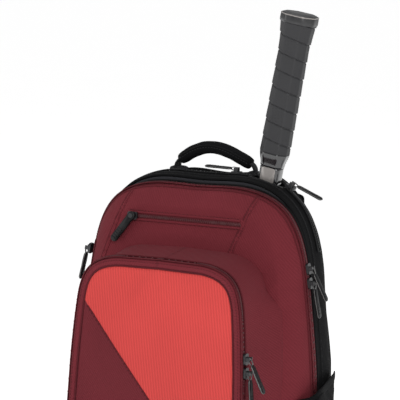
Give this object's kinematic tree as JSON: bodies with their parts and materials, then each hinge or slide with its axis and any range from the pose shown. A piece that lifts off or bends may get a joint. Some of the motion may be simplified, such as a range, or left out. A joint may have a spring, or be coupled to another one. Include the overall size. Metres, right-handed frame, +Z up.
{
  "type": "racket backpack",
  "caption": "Two-tone sports backpack with domed main compartment, front pocket door, side pockets, padded straps and a sleeve holding a tennis racket.",
  "frame": {"origin": "on the ground below the base, on the bag's middle plane", "axes": "+Z up, -Y towards the front pocket, +X to the right seen from the front"},
  "size_m": [0.3402, 0.2914, 0.7057],
  "materials": {
    "black_cloth": "matte",
    "burgundy_cloth": "matte",
    "coral_cloth": "satin",
    "pad_mesh": "matte",
    "lining": "matte",
    "zip_tape": "satin",
    "coated_base": "matte",
    "rubber": "matte",
    "slider_metal": "satin",
    "pull_plastic": "satin",
    "webbing": "matte",
    "buckle_plastic": "satin",
    "racket_lacquer": "gloss",
    "string": "satin",
    "grip_tape": "matte",
    "butt_plastic": "satin"
  },
  "bodies": {
    "bag": {"racket_gusset": "black_cloth", "divider_panel": "lining", "back_panel": "pad_mesh", "back_pad_left": "pad_mesh", "back_pad_right": "pad_mesh", "lumbar_pad": "pad_mesh", "base_panel": "coated_base", "base_feet": "rubber", "base_tray": "burgundy_cloth", "main_rim": "burgundy_cloth", "main_zip_rear": "zip_tape", "side_pocket_left": "black_cloth", "side_pocket_right": "black_cloth", "racket_zip": "zip_tape", "handle_anchor_left": "webbing", "handle_anchor_right": "webbing", "strap_yoke": "webbing", "lower_webbing_left": "webbing", "lower_webbing_right": "webbing", "lower_anchor_left": "webbing", "lower_anchor_right": "webbing"},
    "main_front": {"main_front_shell": "burgundy_cloth", "main_zip_front": "zip_tape", "pocket_gusset": "burgundy_cloth", "pocket_zip": "zip_tape", "welt_zip": "zip_tape", "welt_lining": "lining", "side_zip": "zip_tape"},
    "pocket_door": {"door_border": "burgundy_cloth", "door_upper": "coral_cloth", "door_lower": "burgundy_cloth"},
    "carry_handle": {"handle_grip": "black_cloth"},
    "strap_left": {"shoulder_strap_left": "pad_mesh", "ladderlock_left": "buckle_plastic"},
    "strap_right": {"shoulder_strap_right": "pad_mesh", "ladderlock_right": "buckle_plastic"},
    "racket": {"racket_frame": "racket_lacquer", "racket_strings": "string", "racket_grip": "grip_tape", "racket_collar": "rubber", "racket_butt": "butt_plastic"},
    "main_slider_upper": {"main_slider_upper": "slider_metal"},
    "main_pull_upper": {"main_pull_upper": "pull_plastic"},
    "main_slider_lower": {"main_slider_lower": "slider_metal"},
    "main_pull_lower": {"main_pull_lower": "pull_plastic"},
    "pocket_slider_upper": {"pocket_slider_upper": "slider_metal"},
    "pocket_pull_upper": {"pocket_pull_upper": "pull_plastic"},
    "pocket_slider_lower": {"pocket_slider_lower": "slider_metal"},
    "pocket_pull_lower": {"pocket_pull_lower": "pull_plastic"},
    "racket_slider_left": {"racket_slider_left": "slider_metal"},
    "racket_pull_left": {"racket_pull_left": "pull_plastic"},
    "racket_slider_right": {"racket_slider_right": "slider_metal"},
    "racket_pull_right": {"racket_pull_right": "pull_plastic"},
    "side_slider": {"side_slider": "slider_metal"},
    "side_pull": {"side_pull": "pull_plastic"},
    "welt_slider": {"welt_slider": "slider_metal"},
    "welt_pull": {"welt_pull": "rubber"}
  },
  "joints": [
    {"name": "main_front_open", "type": "hinge", "parent": "bag", "child": "main_front", "pos_m": [0, -0.0545, 0.0455], "axis": [1, 0, 0], "range_deg": [0, 20]},
    {"name": "pocket_door_open", "type": "hinge", "parent": "main_front", "child": "pocket_door", "pos_m": [0, -0.12516, 0.048], "axis": [1, 0, 0], "range_deg": [0, 70]},
    {"name": "carry_handle_swing", "type": "hinge", "parent": "bag", "child": "carry_handle", "pos_m": [0, 0.084, 0.5035], "axis": [1, 0, 0], "range_deg": [-25, 25]},
    {"name": "strap_left_swing", "type": "hinge", "parent": "bag", "child": "strap_left", "pos_m": [-0.058, 0.1178, 0.47], "axis": [1, 0, 0], "range_deg": [0, 15]},
    {"name": "strap_right_swing", "type": "hinge", "parent": "bag", "child": "strap_right", "pos_m": [0.058, 0.1178, 0.47], "axis": [1, 0, 0], "range_deg": [0, 15]},
    {"name": "racket_slide", "type": "slide", "parent": "bag", "child": "racket", "axis": [0.1837, -0.0393, 0.9822], "range_m": [0, 0.03]},
    {"name": "main_zip_upper_slide", "type": "slide", "parent": "bag", "child": "main_slider_upper", "axis": [-0.2, 0, 0.9798], "range_m": [0, 0.018]},
    {"name": "main_pull_upper_swing", "type": "hinge", "parent": "main_slider_upper", "child": "main_pull_upper", "pos_m": [0.14788, 0.0117, 0.40624], "axis": [0, -1, 0], "range_deg": [-1, 110]},
    {"name": "main_zip_lower_slide", "type": "slide", "parent": "bag", "child": "main_slider_lower", "axis": [0.15, 0, -0.9887], "range_m": [0, 0.042]},
    {"name": "main_pull_lower_swing", "type": "hinge", "parent": "main_slider_lower", "child": "main_pull_lower", "pos_m": [0.15023, 0.0117, 0.38893], "axis": [0, -1, 0], "range_deg": [-3, 16]},
    {"name": "pocket_zip_upper_slide", "type": "slide", "parent": "main_front", "child": "pocket_slider_upper", "axis": [-0.075, 0.08, 0.994], "range_m": [0, 0.01]},
    {"name": "pocket_pull_upper_swing", "type": "hinge", "parent": "pocket_slider_upper", "child": "pocket_pull_upper", "pos_m": [0.11658, -0.09622, 0.31646], "axis": [-0.006, -0.9968, 0.0798], "range_deg": [-9, 110]},
    {"name": "pocket_zip_lower_slide", "type": "slide", "parent": "main_front", "child": "pocket_slider_lower", "axis": [0.034, -0.08, -0.9962], "range_m": [0, 0.13]},
    {"name": "pocket_pull_lower_swing", "type": "hinge", "parent": "pocket_slider_lower", "child": "pocket_pull_lower", "pos_m": [0.1176, -0.0975, 0.30021], "axis": [-0.0027, -0.9968, 0.08], "range_deg": [-5, 20]},
    {"name": "racket_zip_left_slide", "type": "slide", "parent": "bag", "child": "racket_slider_left", "axis": [-1, 0, 0], "range_m": [0, 0.045]},
    {"name": "racket_pull_left_swing", "type": "hinge", "parent": "racket_slider_left", "child": "racket_pull_left", "pos_m": [0.03, 0.054, 0.5112], "axis": [0, 1, 0], "range_deg": [-1, 92]},
    {"name": "racket_zip_right_slide", "type": "slide", "parent": "bag", "child": "racket_slider_right", "axis": [0.89, 0, -0.456], "range_m": [0, 0.012]},
    {"name": "racket_pull_right_swing", "type": "hinge", "parent": "racket_slider_right", "child": "racket_pull_right", "pos_m": [0.10343, 0.054, 0.49862], "axis": [0, -1, 0], "range_deg": [-1, 92]},
    {"name": "side_zip_slide", "type": "slide", "parent": "main_front", "child": "side_slider", "axis": [-0.1749, 0, -0.9846], "range_m": [0, 0.04]},
    {"name": "side_pull_swing", "type": "hinge", "parent": "side_slider", "child": "side_pull", "pos_m": [-0.147, 0.0012, 0.40708], "axis": [0, 1, 0], "range_deg": [-1, 110]},
    {"name": "welt_zip_slide", "type": "slide", "parent": "main_front", "child": "welt_slider", "axis": [1, 0, 0], "range_m": [0, 0.128]},
    {"name": "welt_pull_swing", "type": "hinge", "parent": "welt_slider", "child": "welt_pull", "pos_m": [-0.075, -0.02098, 0.45549], "axis": [0, -0.995, 0.0995], "range_deg": [-40, 100]}
  ]
}
